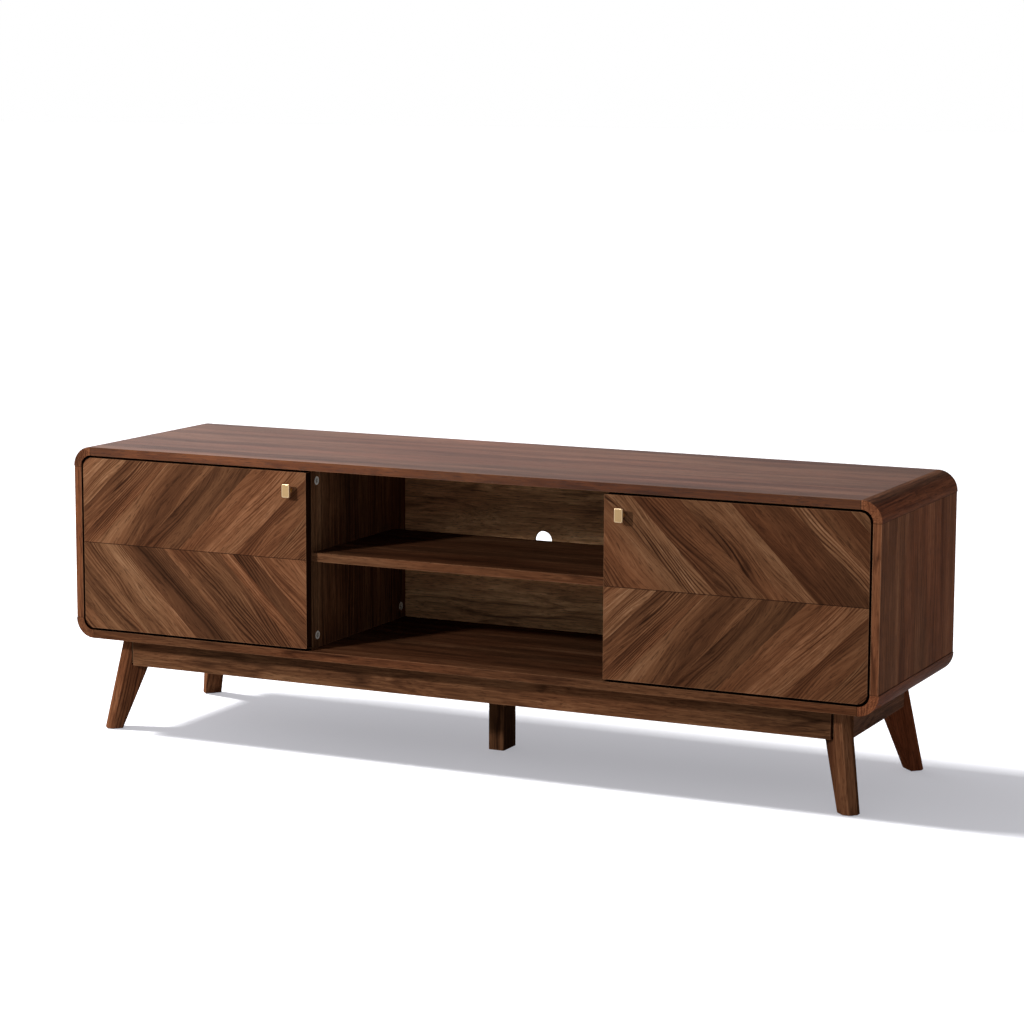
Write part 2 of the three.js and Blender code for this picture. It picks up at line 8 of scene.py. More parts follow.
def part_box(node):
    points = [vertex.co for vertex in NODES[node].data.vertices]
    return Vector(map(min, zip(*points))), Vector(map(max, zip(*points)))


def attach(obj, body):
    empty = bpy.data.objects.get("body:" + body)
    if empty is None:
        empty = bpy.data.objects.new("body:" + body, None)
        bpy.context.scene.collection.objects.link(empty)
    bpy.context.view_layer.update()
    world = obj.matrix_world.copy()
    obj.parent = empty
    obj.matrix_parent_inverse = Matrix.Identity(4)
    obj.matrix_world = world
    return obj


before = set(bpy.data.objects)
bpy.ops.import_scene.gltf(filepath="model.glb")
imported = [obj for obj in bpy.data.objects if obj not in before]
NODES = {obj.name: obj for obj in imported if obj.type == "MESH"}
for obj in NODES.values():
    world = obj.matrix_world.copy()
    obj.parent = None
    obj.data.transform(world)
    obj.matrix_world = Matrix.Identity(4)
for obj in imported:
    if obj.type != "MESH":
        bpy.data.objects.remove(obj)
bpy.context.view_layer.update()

# A low walnut TV stand with two chevron-veneered doors: its materials, small fittings, camera, floor and
# light. Lengths are metres, +Z is up, +X is the width and -Y is the front.

SIDES = (("left", -1), ("right", 1))
X_AXIS, Y_AXIS, Z_AXIS = (1, 0, 0), (0, 1, 0), (0, 0, 1)
FRONTWARD, DOWNWARD = (0, -1, 0), (0, 0, -1)

# ---------------------------------------------------------------------------
# Camera: the angle the stand is seen from, with only a touch of lens shift.
# ---------------------------------------------------------------------------

CAMERA_PLACE = (2.1261, -4.4291, 1.1572)
CAMERA_AZIMUTH = math.radians(25.741)
CAMERA_ELEVATION = math.radians(8.154)
CAMERA_ROLL = math.radians(0.177)
CAMERA_LENS = 100.93
CAMERA_SHIFT = (0.0135, -0.0199)
SENSOR_WIDTH = 36
CAMERA_REACH = 200


def make_camera():
    azimuth, elevation = CAMERA_AZIMUTH, CAMERA_ELEVATION
    look = Vector((
        -math.sin(azimuth) * math.cos(elevation),
        math.cos(azimuth) * math.cos(elevation),
        -math.sin(elevation),
    ))
    right = Vector((math.cos(azimuth), math.sin(azimuth), 0))
    up = right.cross(look)
    c, s = math.cos(CAMERA_ROLL), math.sin(CAMERA_ROLL)
    right, up = c * right + s * up, c * up - s * right
    data = bpy.data.cameras.new("camera")
    data.sensor_width = SENSOR_WIDTH
    data.lens = CAMERA_LENS
    data.shift_x, data.shift_y = CAMERA_SHIFT
    data.clip_end = CAMERA_REACH
    camera = bpy.data.objects.new("camera", data)
    turn = Matrix((right, up, -look)).transposed().to_4x4()
    camera.matrix_world = Matrix.Translation(CAMERA_PLACE) @ turn
    bpy.context.scene.collection.objects.link(camera)
    bpy.context.scene.camera = camera


make_camera()

# ---------------------------------------------------------------------------
# Shader nodes
# ---------------------------------------------------------------------------


class Nodes:
    """A node tree. Its methods return an output socket, and take sockets or plain values."""

    def __init__(self, tree):
        self.tree = tree
        self.tree.nodes.clear()

    def new(self, kind):
        return self.tree.nodes.new(f"ShaderNode{kind}")

    def feed(self, socket, value):
        if isinstance(value, bpy.types.NodeSocket):
            self.tree.links.new(value, socket)
        else:
            socket.default_value = value

    def math(self, operation, a, b=0.0, c=0.0, clamp=False):
        node = self.new("Math")
        node.operation = operation
        node.use_clamp = clamp
        for socket, value in zip(node.inputs, (a, b, c)):
            self.feed(socket, value)
        return node.outputs[0]

    def add(self, a, b, clamp=False):
        return self.math("ADD", a, b, clamp=clamp)

    def subtract(self, a, b):
        return self.math("SUBTRACT", a, b)

    def multiply(self, a, b, clamp=False):
        return self.math("MULTIPLY", a, b, clamp=clamp)

    def multiply_add(self, a, b, c):
        """a times b, plus c."""
        return self.math("MULTIPLY_ADD", a, b, c)

    def inverse(self, value):
        """One minus the value."""
        return self.subtract(1.0, value)

    def centred(self, noise):
        """A 0-1 noise moved to lie about zero."""
        return self.subtract(noise, 0.5)

    def distance(self, value, centre):
        return self.math("ABSOLUTE", self.subtract(value, centre))

    def inside(self, value, low, high):
        """How far a value is inside the span from low to high."""
        return self.subtract((high - low) / 2, self.distance(value, (low + high) / 2))

    def lerp(self, factor, a, b):
        """Plain number a at factor 0, b at factor 1."""
        return self.add(self.multiply(self.subtract(b, a), factor), a)

    def band(self, value, low, high):
        """Smooth step from 0 at low to 1 at high."""
        node = self.new("MapRange")
        node.interpolation_type = "SMOOTHSTEP"
        self.feed(node.inputs["Value"], value)
        self.feed(node.inputs["From Min"], low)
        self.feed(node.inputs["From Max"], high)
        return node.outputs[0]

    def vector(self, operation, a, b):
        node = self.new("VectorMath")
        node.operation = operation
        self.feed(node.inputs[0], a)
        self.feed(node.inputs[1], b)
        return node.outputs["Value" if operation == "DOT_PRODUCT" else "Vector"]

    def dot(self, a, b):
        return self.vector("DOT_PRODUCT", a, b)

    def scaled(self, place, *factors):
        """A point scaled by one factor, or by one for each axis."""
        return self.vector("MULTIPLY", place, factors if len(factors) == 3 else factors * 3)

    def combine(self, x, y, z):
        node = self.new("CombineXYZ")
        for socket, value in zip(node.inputs, (x, y, z)):
            self.feed(socket, value)
        return node.outputs[0]

    def separate(self, vector):
        node = self.new("SeparateXYZ")
        self.feed(node.inputs[0], vector)
        return node.outputs[0], node.outputs[1], node.outputs[2]

    def noise(self, vector, detail=2.0, roughness=0.5):
        node = self.new("TexNoise")
        self.feed(node.inputs["Vector"], vector)
        node.inputs["Scale"].default_value = 1.0
        node.inputs["Detail"].default_value = detail
        node.inputs["Roughness"].default_value = roughness
        return node.outputs[0]

    def ramp(self, factor, stops, interpolation="LINEAR"):
        node = self.new("ValToRGB")
        ramp = node.color_ramp
        ramp.interpolation = interpolation
        while len(ramp.elements) < len(stops):
            ramp.elements.new(1.0)
        for element, (position, colour) in zip(ramp.elements, stops):
            element.position = position
            element.color = (*colour, 1.0)
        self.feed(node.inputs[0], factor)
        return node.outputs[0]

    def mix(self, factor, a, b, blend="MIX"):
        """Colour a at factor 0, b at factor 1."""
        node = self.new("Mix")
        node.data_type = "RGBA"
        node.blend_type = blend
        self.feed(node.inputs["Factor"], factor)
        for name, value in (("A", a), ("B", b)):
            socket = next(s for s in node.inputs if s.name == name and s.type == "RGBA")
            self.feed(socket, (*value, 1.0) if isinstance(value, tuple) else value)
        return next(s for s in node.outputs if s.type == "RGBA")

    def tint(self, factor, colour, by):
        """The colour multiplied by another where factor is 1."""
        return self.mix(factor, colour, by, "MULTIPLY")


class Material(Nodes):
    """One material's nodes, with the object's own coordinates and normal at hand."""

    def __init__(self, name):
        self.material = bpy.data.materials.new(name)
        self.material.use_nodes = True
        super().__init__(self.material.node_tree)
        self.shader = self.new("BsdfPrincipled")
        out = self.new("OutputMaterial")
        self.tree.links.new(self.shader.outputs[0], out.inputs["Surface"])
        coordinates = self.new("TexCoord")
        self.place = coordinates.outputs["Object"]
        self.normal = coordinates.outputs["Normal"]

    def bump(self, height, strength, distance):
        node = self.new("Bump")
        node.inputs["Strength"].default_value = strength
        node.inputs["Distance"].default_value = distance
        self.feed(node.inputs["Height"], height)
        self.feed(self.shader.inputs["Normal"], node.outputs[0])

    def set(self, **values):
        for name, value in values.items():
            self.feed(self.shader.inputs[name.replace("_", " ")], value)


# ---------------------------------------------------------------------------
# Walnut
# ---------------------------------------------------------------------------

# The grain's noises, each by its scale along the grain and across it.
WANDER_SCALE = (2.6, 11)
BROAD_SCALE = (1.3, 26)
STREAK_SCALE = (4.0, 150)
FINE_SCALE = (14, 380)
PATCH_SCALE = (4, 19)
PORE_SCALE = (45, 620)
HUE_SCALE = (2.2, 9)
HUE_OFFSET = 0.8

# How much each one counts.
WANDER_REACH = 0.05
BROAD_WEIGHT, STREAK_WEIGHT, FINE_WEIGHT = 0.95, 0.55, 0.70
RING_BEND, RING_SHARPNESS = 26, 2.5
PORE_STRENGTH, HUE_STRENGTH, RED_STRENGTH = 0.5, 0.55, 0.9

WALNUT_RAMP = (
    (0.00, (0.016, 0.0065, 0.0036)),
    (0.22, (0.046, 0.0185, 0.0090)),
    (0.42, (0.086, 0.0350, 0.0165)),
    (0.58, (0.130, 0.0550, 0.0255)),
    (0.76, (0.190, 0.0870, 0.0420)),
    (1.00, (0.300, 0.1550, 0.0820)),
)
PORE_COLOUR = (0.022, 0.009, 0.005)
HEARTWOOD_TINT = (1.10, 0.84, 0.76)
# Lighter colour on the arrises: partly wear, partly a painted highlight along the edges.
HIGHLIGHT_AND_WEAR_COLOUR = (0.27, 0.135, 0.070)
HIGHLIGHT_AND_WEAR_WIDTH = 0.0016

# How far one unit of seed moves a piece through the wood: along the grain, across it and into it.
SEED_STEPS = (3.137, 0.731, 0.417)

# The thin glue line where two boards meet, and the painted shade in the narrow gap round each door.
JOINT_LINE = 0.0016
JOINT_SHADE = (0.38, 0.33, 0.30)
GAP_PAINTED_SHADE = (0.10, 0.08, 0.07)
DOOR_BACK_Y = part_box("door_left")[1].y
BAY_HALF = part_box("door_right")[0].x


def stretched(g, along, across, depth, scale):
    """A point in the grain, scaled along it and across it."""
    lengthwise, crosswise = scale
    return g.combine(
        g.multiply(along, lengthwise),
        g.multiply(across, crosswise),
        g.multiply(depth, crosswise),
    )


def walnut(g, along, across, depth, tone=0.0, streaks=1.0, figure=1.0, red=0.0, rings=0.26, spacing=0.005):
    """Walnut seen at a point given along, across and into the grain.
    Returns colour, height and a 0-1 grain value. tone lifts or lowers it all, rings is the strength of the
    growth lines and spacing their distance."""
    # slow wander of the grain, which bends the streaks and draws the cathedrals
    wander = g.noise(stretched(g, along, across, depth, WANDER_SCALE), 2.0, 0.5)
    wander = g.multiply(g.centred(wander), g.multiply(figure, WANDER_REACH))
    bent = g.add(across, wander)
    broad = g.noise(stretched(g, along, bent, depth, BROAD_SCALE), 3.0, 0.55)
    streak = g.noise(stretched(g, along, bent, depth, STREAK_SCALE), 5.0, 0.68)
    fine = g.noise(stretched(g, along, bent, depth, FINE_SCALE), 3.0, 0.65)
    # thin dark growth lines, stronger in some places than in others
    phase = g.add(g.multiply(bent, 2 * math.pi / spacing), g.multiply(broad, RING_BEND))
    wave = g.math("POWER", g.multiply_add(g.math("SINE", phase), 0.5, 0.5), RING_SHARPNESS)
    patches = g.band(g.noise(stretched(g, along, across, depth, PATCH_SCALE), 1.0), 0.42, 0.66)
    lines = g.multiply(g.multiply(wave, patches), rings)
    # pores: short dark dashes along the grain
    pores = g.band(g.noise(stretched(g, along, bent, depth, PORE_SCALE), 2.0, 0.6), 0.53, 0.66)

    value = g.multiply_add(g.centred(broad), BROAD_WEIGHT, 0.5)
    value = g.multiply_add(g.centred(streak), g.multiply(streaks, STREAK_WEIGHT), value)
    value = g.multiply_add(g.centred(fine), g.multiply(streaks, FINE_WEIGHT), value)
    value = g.subtract(value, g.multiply(lines, streaks))
    value = g.add(value, tone, clamp=True)
    colour = g.ramp(value, WALNUT_RAMP)
    # patches of redder and greyer heartwood
    hue = g.noise(stretched(g, along, across, g.add(depth, HUE_OFFSET), HUE_SCALE), 2.0)
    hue = g.band(hue, 0.35, 0.68)
    colour = g.tint(g.multiply(hue, HUE_STRENGTH), colour, HEARTWOOD_TINT)
    colour = g.tint(RED_STRENGTH, colour, (1.0 + 0.35 * red, 1.0 - 0.12 * red, 1.0 - 0.22 * red))
    colour = g.mix(g.multiply(pores, PORE_STRENGTH), colour, PORE_COLOUR)
    height = g.subtract(g.multiply(fine, 0.5), g.multiply(pores, 0.9))
    return colour, height, value


def edge_mask(g, node, width=HIGHLIGHT_AND_WEAR_WIDTH):
    """1 on the arrises of a box-shaped piece, where the lighter edge colour goes, 0 elsewhere."""
    x, y, z = [g.inside(*span) for span in zip(g.separate(g.place), *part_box(node))]
    second = g.math("MAXIMUM", g.math("MINIMUM", x, y), g.math("MINIMUM", g.math("MAXIMUM", x, y), z))
    ragged = g.multiply(g.noise(g.scaled(g.place, 60), 3.0), 2 * width)
    return g.inverse(g.band(second, 0.0, ragged))


def facing(g, direction, low=0.5, high=0.7):
    """1 on faces that look in a direction, 0 on the others."""
    return g.band(g.dot(g.normal, tuple(Vector(direction).normalized())), low, high)


def joint_lines(g, node, axis):
    """1 on the thin dark glue line at both ends of a board along axis, where it meets the next piece."""
    low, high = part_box(node)
    index = axis.index(1)
    from_end = g.inside(g.separate(g.place)[index], low[index], high[index])
    return g.inverse(g.band(from_end, 0.5 * JOINT_LINE, JOINT_LINE))


def gap_shade_mask(g, shaded_reveal):
    """1 on the faces of the door openings that look the given way. These get painted shade in the narrow
    gap round a door.
    """
    x, y, _ = g.separate(g.place)
    beside_door = g.math("LESS_THAN", y, DOOR_BACK_Y)
    beside_door = g.multiply(beside_door, g.math("GREATER_THAN", g.math("ABSOLUTE", x), BAY_HALF))
    return g.multiply(beside_door, facing(g, shaded_reveal, 0.2, 0.4))


def lacquer(g, colour, height, value, gloss=0.40, shine=0.0):
    """Thin satin lacquer over wood."""
    rough = g.multiply_add(g.subtract(0.5, value), 0.14, gloss)
    g.set(Base_Color=colour, Roughness=rough, Specular_IOR_Level=shine)
    g.bump(height, 0.30, 0.00025)


def wood_coordinates(g, grain, seed):
    """Along, across and depth for a piece whose grain runs in the direction grain."""
    along_axis = Vector(grain).normalized()
    helper = Vector(Z_AXIS) if abs(along_axis.z) < 0.7 else Vector(X_AXIS)
    across_axis = along_axis.cross(helper).normalized()
    axes = (along_axis, across_axis, along_axis.cross(across_axis))
    return [g.add(g.dot(g.place, tuple(axis)), seed * step) for axis, step in zip(axes, SEED_STEPS)]


def dress(node, material):
    """Puts a material on a CAD node."""
    slots = NODES[node].data.materials
    slots.clear()
    slots.append(material)


def board(node, grain, seed, gloss=0.40, wear=0.30, shine=0.0, faces=(), shaded_reveal=None, joints=None, **looks):
    """Gives one board its own walnut. faces are (direction, tint) pairs of painted light and shade, which
    lighten or darken the faces that look that way. reveal is the direction of the door opening, whose faces
    in the narrow gap round a door get painted shade. joints is the axis whose two ends show a glue line.
    looks are those of walnut."""
    g = Material(f"walnut_{node}")
    colour, height, value = walnut(g, *wood_coordinates(g, grain, seed), **looks)
    # lighter arrises: partly wear, partly painted highlight
    colour = g.mix(g.multiply(edge_mask(g, node), wear), colour, HIGHLIGHT_AND_WEAR_COLOUR)
    # painted light and shade: the faces that look one way are made lighter or darker
    for direction, tint in faces:
        colour = g.tint(facing(g, direction), colour, tint if isinstance(tint, tuple) else (tint,) * 3)
    if joints:
        colour = g.tint(joint_lines(g, node, joints), colour, JOINT_SHADE)
    # painted shade on the faces of the narrow gap round a door
    if shaded_reveal:
        colour = g.tint(gap_shade_mask(g, shaded_reveal), colour, GAP_PAINTED_SHADE)
    lacquer(g, colour, height, value, gloss, shine)
    dress(node, g.material)


# ---------------------------------------------------------------------------
# Doors: chevron veneer
# ---------------------------------------------------------------------------

# Each half is a run of strips: where the strip starts along the half's slant, its tone, and how streaky it
# is. A rising half leans like "/", a falling one like "\".
RISING = (
    (-0.160, 0.16, 1.5),
    (-0.063, -0.14, 0.9),
    (-0.034, 0.05, 1.4),
    (0.022, -0.03, 0.9),
    (0.120, -0.13, 0.7),
    (0.194, 0.00, 1.0),
    (0.224, 0.13, 1.3),
    (0.309, -0.09, 0.8),
    (0.375, 0.00, 1.1),
)
FALLING_LEFT = (
    (-0.160, 0.03, 1.1),
    (-0.108, -0.09, 0.8),
    (-0.028, 0.07, 1.3),
    (0.075, -0.11, 0.7),
    (0.162, -0.01, 1.1),
    (0.275, 0.05, 1.5),
    (0.305, -0.15, 0.8),
    (0.345, 0.12, 1.0),
)
FALLING_RIGHT = (
    (-0.010, -0.03, 0.9),
    (0.145, 0.13, 1.6),
    (0.197, -0.12, 0.8),
    (0.283, 0.07, 1.2),
    (0.370, -0.13, 0.8),
    (0.471, 0.12, 1.3),
    (0.510, -0.10, 1.0),
    (0.570, 0.04, 1.0),
)
# Every strip has its own number, below STRIP_NUMBERS, and so its own piece of wood. These are the numbers
# that the runs start at.
FIRST_RISING, FIRST_LEFT, FIRST_RIGHT = 0, 12, 24
STRIP_NUMBERS = 40
STRIP_OFFSETS = (71.0, 13.7, 33.0)
SLANT_LOW, SLANT_RANGE = -0.160, 0.800
DIAGONAL = 1 / math.sqrt(2)

VENEER_TONE = 0.06
VENEER_LOOKS = {"figure": 1.75, "red": -0.08, "rings": 0.32, "spacing": 0.0055}
SEAM_RISE = 0.0015
SEAM_EDGES = (0.0003, 0.0009)
SEAM_COLOUR = (0.012, 0.006, 0.004)
DOOR_EDGE_PAINTED_SHADE = (0.22, 0.19, 0.17)
DOOR_HIGHLIGHT_AND_WEAR_WIDTH = 0.0012
DOOR_WEAR_AND_HIGHLIGHT = 0.35
DOOR_GLOSS = 0.42


def strip_table(g, slant, strips, first):
    """Tone, streakiness and a strip number for a point's place along the slant."""
    stops = []
    for number, (start, tone, streaks) in enumerate(strips, first):
        position = max(0.0, (start - SLANT_LOW) / SLANT_RANGE)
        stops.append((position, (0.5 + tone, streaks / 2, number / STRIP_NUMBERS)))
    factor = g.math("DIVIDE", g.subtract(slant, SLANT_LOW), SLANT_RANGE)
    return g.ramp(factor, stops, "CONSTANT")


def chevron(hand):
    """The door's veneer: slanted strips meeting at a level seam on the front, upright grain elsewhere, with
    painted shade on the edges.
    """
    node = f"door_{hand}"
    low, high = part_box(node)
    middle = (low.z + high.z) / 2 + SEAM_RISE
    g = Material(f"chevron_{hand}")
    x, y, z = g.separate(g.place)
    across_door = g.subtract(x, low.x)
    upper = g.math("GREATER_THAN", z, middle)
    above = g.subtract(z, g.lerp(upper, low.z, middle))
    minus = g.subtract(across_door, above)
    plus = g.add(across_door, above)
    if hand == "left":
        rising = upper
        falling = strip_table(g, g.subtract(plus, middle - low.z), FALLING_LEFT, FIRST_LEFT)
    else:
        rising = g.inverse(upper)
        falling = strip_table(g, plus, FALLING_RIGHT, FIRST_RIGHT)
    table = g.mix(rising, falling, strip_table(g, minus, RISING, FIRST_RISING))
    tone, streaks, number = g.separate(table)
    tone = g.subtract(tone, 0.5 - VENEER_TONE)
    streaks = g.multiply(streaks, 2.0)
    along = g.multiply(g.lerp(rising, minus, plus), DIAGONAL)
    across = g.multiply(g.lerp(rising, plus, minus), DIAGONAL)
    along = g.multiply_add(number, STRIP_OFFSETS[0], along)
    across = g.multiply_add(number, STRIP_OFFSETS[1], across)
    depth = g.multiply(number, STRIP_OFFSETS[2])
    veneer, height, value = walnut(g, along, across, depth, tone, streaks, **VENEER_LOOKS)

    # the level seam between the halves
    seam = g.inverse(g.band(g.distance(z, middle), *SEAM_EDGES))
    veneer = g.mix(g.multiply(seam, 0.85), veneer, SEAM_COLOUR)
    height = g.subtract(height, g.multiply(seam, 2.0))

    plain, plain_height, _ = walnut(g, z, x, y, tone=-0.02, figure=0.5)
    outward = g.separate(g.normal)[1]
    # painted shade on the door's edges
    edge = g.math("LESS_THAN", g.math("ABSOLUTE", outward), 0.6)
    plain = g.tint(edge, plain, DOOR_EDGE_PAINTED_SHADE)
    front = g.math("LESS_THAN", outward, -0.6)
    colour = g.mix(front, plain, veneer)
    # lighter arrises: partly wear, partly painted highlight
    colour = g.mix(g.multiply(edge_mask(g, node, DOOR_HIGHLIGHT_AND_WEAR_WIDTH), DOOR_WEAR_AND_HIGHLIGHT), colour, HIGHLIGHT_AND_WEAR_COLOUR)
    lacquer(g, colour, g.lerp(front, plain_height, height), value, DOOR_GLOSS)
    return g.material


# ---------------------------------------------------------------------------
# Metals, beech and plastic
# ---------------------------------------------------------------------------

# The third brass colour is a painted highlight round the rim of the knob's plate.
BRASS, BRASS_SHADE, BRASS_RIM_HIGHLIGHT = (0.66, 0.44, 0.225), (0.55, 0.36, 0.17), (0.90, 0.66, 0.40)
BRASS_RIM_HIGHLIGHT_WIDTH = (0.0009, 0.0019)
# The second zinc colour is the painted shade in a cam lock's recess.
ZINC, ZINC_RECESS_SHADE = (1.0, 0.98, 0.92), (0.22, 0.21, 0.19)
CAM_RECESS_SHADE_SPAN = (0.45, 0.72)
NICKEL, NICKEL_SHADE = (0.70, 0.69, 0.66), (0.48, 0.47, 0.45)
BOLT_ZINC, BOLT_SHADE = (0.62, 0.61, 0.58), (0.36, 0.35, 0.33)
PIN_NICKEL, PIN_SHADE = (0.66, 0.64, 0.60), (0.45, 0.43, 0.40)
BEECH_RAMP = (
    (0.2, (0.30, 0.17, 0.085)),
    (0.5, (0.42, 0.26, 0.14)),
    (0.8, (0.52, 0.35, 0.20)),
)
BEECH_FLECK, BEECH_WORN = (0.20, 0.095, 0.045), (0.60, 0.43, 0.26)
BEECH_STREAK_SCALE = (5, 90)
BEECH_FLECK_SCALE = (160, 900)
GLIDE_DARK, GLIDE_SCUFF = (0.016, 0.015, 0.014), (0.06, 0.058, 0.055)
BUMPER_CLEAR, BUMPER_SCUFF = (0.32, 0.31, 0.29), (0.45, 0.44, 0.42)


def metal(name, colour, dark, rough, brush, wear, direction=X_AXIS):
    """Brushed or plated metal: fine lines along direction, smudges and a faint dulling in patches."""
    g = Material(name)
    stretch = [brush * (0.03 if d else 1.0) for d in direction]
    lines = g.noise(g.scaled(g.place, *stretch), 3.0, 0.7)
    smudge = g.noise(g.scaled(g.place, 70), 2.0, 0.5)
    shade = g.multiply_add(g.centred(lines), 0.25, g.multiply(smudge, wear))
    g.set(Base_Color=g.mix(g.add(shade, 0.0, clamp=True), colour, dark), Metallic=1.0)
    smudged = g.multiply(g.centred(smudge), 0.15)
    g.set(Roughness=g.add(smudged, g.multiply_add(lines, 0.08, rough)))
    g.bump(lines, 0.08, 0.00005)
    return g.material


def knob_metal(node):
    """Brushed brass, with a painted highlight round the rim of the knob's plate."""
    low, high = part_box(node)
    g = Material(f"brass_{node}")
    x, _, z = g.separate(g.place)
    lines = g.noise(g.scaled(g.place, 60, 60, 1500), 2.0, 0.6)
    smudge = g.noise(g.scaled(g.place, 70), 2.0, 0.5)
    from_edge = g.math("MINIMUM", g.inside(x, low.x, high.x), g.inside(z, low.z, high.z))
    # painted highlight round the plate's rim
    rim = g.inverse(g.band(from_edge, *BRASS_RIM_HIGHLIGHT_WIDTH))
    shade = g.multiply(g.multiply_add(lines, 0.5, smudge), 0.6, clamp=True)
    g.set(Base_Color=g.mix(rim, g.mix(shade, BRASS, BRASS_SHADE), BRASS_RIM_HIGHLIGHT), Metallic=1.0)
    g.set(Roughness=g.multiply_add(lines, 0.1, 0.30))
    g.bump(lines, 0.08, 0.00005)
    return g.material


def cam_metal(node):
    """Zinc cam lock: a bright rim round a darker, mottled recess, whose darkening is painted shade."""
    low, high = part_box(node)
    radius = (high.y - low.y) / 2
    centre_z = low.z + radius if node.endswith("top") else high.z - radius
    g = Material(f"zinc_{node}")
    _, y, z = g.separate(g.place)
    from_centre = g.combine(g.subtract(y, (low.y + high.y) / 2), g.subtract(z, centre_z), 0.0)
    reach = g.math("POWER", g.dot(from_centre, from_centre), 0.5)
    mottle = g.noise(g.scaled(g.place, 400), 3.0, 0.6)
    # painted shade in the cam's recess
    recess = g.inverse(g.band(reach, *[share * radius for share in CAM_RECESS_SHADE_SPAN]))
    shade = g.multiply(recess, g.multiply_add(mottle, 0.6, 0.4), clamp=True)
    g.set(Base_Color=g.mix(shade, ZINC, ZINC_RECESS_SHADE), Metallic=0.1)
    g.set(Roughness=g.multiply_add(mottle, 0.2, 0.32))
    g.bump(mottle, 0.3, 0.0002)
    return g.material


def beech(node, grain, seed):
    """Planed, unlacquered beech with its short dark flecks."""
    g = Material(f"beech_{node}")
    point = wood_coordinates(g, grain, seed)
    streak = g.noise(stretched(g, *point, BEECH_STREAK_SCALE), 4.0, 0.6)
    flecks = g.band(g.noise(stretched(g, *point, BEECH_FLECK_SCALE), 1.0), 0.60, 0.70)
    colour = g.mix(g.multiply(flecks, 0.6), g.ramp(streak, BEECH_RAMP), BEECH_FLECK)
    colour = g.mix(g.multiply(edge_mask(g, node), 0.4), colour, BEECH_WORN)
    g.set(Base_Color=colour, Roughness=g.multiply_add(streak, 0.15, 0.58))
    g.bump(g.subtract(streak, flecks), 0.25, 0.0003)
    return g.material


def plastic(name, colour, light, rough):
    """Moulded plastic with a fine eggshell surface and light scuffs."""
    g = Material(name)
    grain = g.noise(g.scaled(g.place, 1400), 2.0)
    scuffs = g.band(g.noise(g.scaled(g.place, 90, 420, 300), 3.0, 0.7), 0.55, 0.75)
    g.set(Base_Color=g.mix(g.multiply(scuffs, 0.5), colour, light))
    g.set(Roughness=g.multiply_add(grain, 0.12, rough))
    g.bump(grain, 0.2, 0.0001)
    return g.material


# ---------------------------------------------------------------------------
# Dressing the CAD pieces
# ---------------------------------------------------------------------------

# The number after a board's grain is its seed, which gives each board its own piece of wood.

# How far outwards the legs' grain runs for each unit it drops.
LEG_LEAN = 0.16
SOFT_EDGE = 0.0007
SOFT_EDGE_ANGLE = math.radians(35)

# The faces tints below are painted light and shade. The top's front edge, the bay's floors and shelf, and
# the back panel's front are made darker or lighter by the way they face.
board("top_panel", X_AXIS, 1.0, tone=0.04, streaks=0.6, red=0.35, gloss=0.36, shine=0.17,
      faces=((FRONTWARD, (0.74, 0.66, 0.54)),), shaded_reveal=DOWNWARD, joints=X_AXIS)
board("bottom_panel", X_AXIS, 2.0, tone=0.05,
      faces=((FRONTWARD, 0.85), (Z_AXIS, 0.63)), shaded_reveal=Z_AXIS, joints=X_AXIS)
board("shelf_centre", X_AXIS, 3.0, tone=0.05, figure=0.6, faces=((FRONTWARD, 0.77), (Z_AXIS, 0.65)))
board("back_panel", X_AXIS, 4.0, tone=0.10, figure=1.6, red=-0.6, wear=0.0, rings=0.3, spacing=0.010,
      faces=((FRONTWARD, 5.1),))
board("front_rail", X_AXIS, 5.0, tone=0.01, red=-0.2, figure=1.3)
board("back_rail", X_AXIS, 6.0, tone=-0.02, figure=1.3)
board("centre_leg", Z_AXIS, 60.0, tone=0.03, red=-0.2)
dress("cross_rail", beech("cross_rail", Y_AXIS, 61.0))

# Tints of the front edges, the outer faces and the corners' flanks, which follow the photo's light.
STILE_PAINTED_LIGHT = {"left": 1.25, "right": 1.8}
SIDE_PAINTED_LIGHT = {"left": 0.75, "right": 1.85}
FLANK_PAINTED_LIGHT = {"left": 0.85, "right": (1.65, 1.35, 1.25)}

